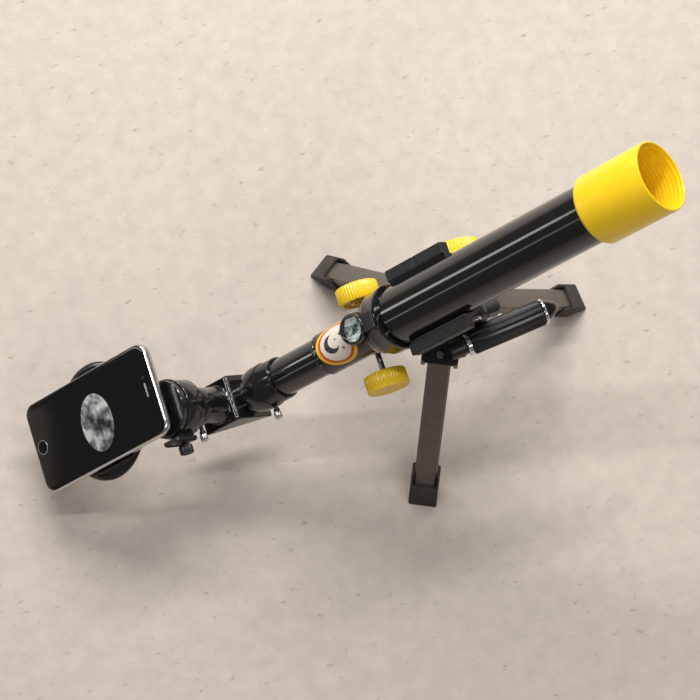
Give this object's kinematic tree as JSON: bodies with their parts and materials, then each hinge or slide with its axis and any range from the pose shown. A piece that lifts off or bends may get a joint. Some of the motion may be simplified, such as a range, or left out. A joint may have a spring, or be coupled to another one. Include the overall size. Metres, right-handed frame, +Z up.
{
  "type": "tabletop refracting telescope",
  "caption": "Small refracting telescope on a folding tabletop tripod, with right-angle diagonal, focuser wheels, compass and a clamp-on phone holder carrying a phone.",
  "frame": {"origin": "middle of the whole object's footprint, at floor level", "axes": "+Z up, +X the way the tube is aimed, +Y to the tube's left"},
  "size_m": [0.4682, 0.2148, 0.3516],
  "materials": {
    "black_metal": "satin black paint on die-cast metal",
    "steel": "bright steel",
    "leg_grey": "warm grey satin coating on folded sheet",
    "rubber": "matt dark grey rubber",
    "gloss_black": "gloss black moulding",
    "chrome": "bright plating",
    "yellow": "glossy yellow moulding",
    "satin_black": "satin black moulding",
    "tube_black": "gloss black lacquer on a metal tube",
    "clear_glass": "clear polished",
    "dial": "pale grey-green printed card",
    "needle_red": "red and white painted steel",
    "label": "printed sticker, yellow rim, orange ring, cream middle",
    "silver": "brushed silver",
    "mirror": "front-silvered",
    "screen_glass": "polished black front"
  },
  "bodies": {
    "tripod": {"hub": "black_metal", "leg_pin_1": "steel", "leg_pin_2": "steel", "leg_pin_3": "steel"},
    "leg_one": {"leg_1": "leg_grey", "foot_1": "rubber"},
    "leg_two": {"leg_2": "leg_grey", "foot_2": "rubber"},
    "leg_three": {"leg_3": "leg_grey", "foot_3": "rubber"},
    "head": {"pan_head": "black_metal", "pan_nut": "black_metal", "handle_socket": "black_metal", "handle_grip": "gloss_black", "handle_ring_back": "chrome", "handle_ring_front": "chrome", "handle_tip": "gloss_black"},
    "tilt_lock": {"tilt_bolt": "steel", "tilt_knob": "yellow"},
    "telescope": {"cradle": "satin_black", "main_tube": "tube_black", "dew_shield": "yellow", "lens_cell": "satin_black", "lens_ring": "satin_black", "objective_lens": "clear_glass", "rear_collar": "satin_black", "compass_case": "gloss_black", "compass_dial": "dial", "compass_pin": "chrome", "compass_crystal": "clear_glass", "focuser_body": "gloss_black", "round_label": "label"},
    "needle": {"compass_needle": "needle_red"},
    "draw": {"drawtube": "tube_black", "drawtube_ring": "gloss_black"},
    "focuser": {"focus_shaft": "chrome", "focus_knob_left": "yellow", "focus_knob_right": "yellow"},
    "ring_screw": {"drawtube_screw": "chrome"},
    "diagonal": {"diagonal_box": "gloss_black", "ridge_strip": "silver", "diagonal_plate": "satin_black", "diagonal_mirror": "mirror"},
    "side_screw": {"socket_screw": "chrome"},
    "holder": {"eyepiece": "gloss_black", "eye_lens": "clear_glass", "phone_plate": "gloss_black", "clamp_jaw": "satin_black", "grip_pad_1": "rubber", "grip_pad_2": "rubber", "grip_pad_3": "rubber", "grip_pad_4": "rubber"},
    "clamp": {"clamp_screw": "satin_black"},
    "phone": {"phone_frame": "silver", "phone_glass": "screen_glass", "home_key": "screen_glass"}
  },
  "joints": [
    {"name": "leg_one_fold", "type": "hinge", "parent": "tripod", "child": "leg_one", "pos_m": [0.10773, 0.00679, 0.131], "axis": [-0.0872, 0.9962, 0], "range_deg": [0, 32]},
    {"name": "leg_two_fold", "type": "hinge", "parent": "tripod", "child": "leg_two", "pos_m": [0.06378, 0.02729, 0.131], "axis": [-0.8192, -0.5736, 0], "range_deg": [0, 32]},
    {"name": "leg_three_fold", "type": "hinge", "parent": "tripod", "child": "leg_three", "pos_m": [0.06801, -0.02103, 0.131], "axis": [0.9063, -0.4226, 0], "range_deg": [0, 32]},
    {"name": "pan", "type": "hinge", "parent": "tripod", "child": "head", "pos_m": [0.07984, 0.00435, 0.13], "axis": [0, 0, 1], "range_deg": [-170, 170]},
    {"name": "tilt", "type": "hinge", "parent": "head", "child": "telescope", "pos_m": [0.09384, 0.00435, 0.166], "axis": [0, -1, 0], "range_deg": [-45, 3]},
    {"name": "tilt_lock_turn", "type": "hinge", "parent": "head", "child": "tilt_lock", "pos_m": [0.09384, 0.00435, 0.166], "axis": [0, 1, 0], "range_deg": [-180, 180]},
    {"name": "needle_turn", "type": "hinge", "parent": "telescope", "child": "needle", "pos_m": [0.01129, 0.00435, 0.17689], "axis": [-0.6756, 0, 0.7373], "continuous": true},
    {"name": "focus_slide", "type": "slide", "parent": "telescope", "child": "draw", "axis": [-0.7373, 0, -0.6756], "range_m": [-0.02, 0.025]},
    {"name": "focus_turn", "type": "hinge", "parent": "telescope", "child": "focuser", "pos_m": [0.02522, 0.00435, 0.13269], "axis": [0, 1, 0], "range_deg": [-425, 340]},
    {"name": "ring_screw_turn", "type": "hinge", "parent": "draw", "child": "ring_screw", "pos_m": [-0.05432, 0.00435, 0.08449], "axis": [0, -1, 0], "range_deg": [-180, 180]},
    {"name": "diagonal_turn", "type": "hinge", "parent": "draw", "child": "diagonal", "pos_m": [-0.0681, 0.00435, 0.07186], "axis": [0.7373, 0, 0.6756], "range_deg": [-12, 12]},
    {"name": "side_screw_turn", "type": "hinge", "parent": "diagonal", "child": "side_screw", "pos_m": [-0.11058, 0.00435, 0.08787], "axis": [0, -1, 0], "range_deg": [-180, 180]},
    {"name": "holder_turn", "type": "hinge", "parent": "diagonal", "child": "holder", "pos_m": [-0.117, 0.00435, 0.09487], "axis": [-0.6756, 0, 0.7373], "range_deg": [-60, 60]},
    {"name": "clamp_turn", "type": "hinge", "parent": "holder", "child": "clamp", "pos_m": [-0.1251, 0.00435, 0.10372], "axis": [0, -1, 0], "range_deg": [-180, 180]},
    {"name": "phone_lift", "type": "slide", "parent": "holder", "child": "phone", "axis": [-0.6756, 0, 0.7373], "range_m": [0, 0.04]}
  ],
  "couplings": [
    {"joint": "focus_turn", "follows": "focus_slide", "rad_per_m": -294.1}
  ]
}
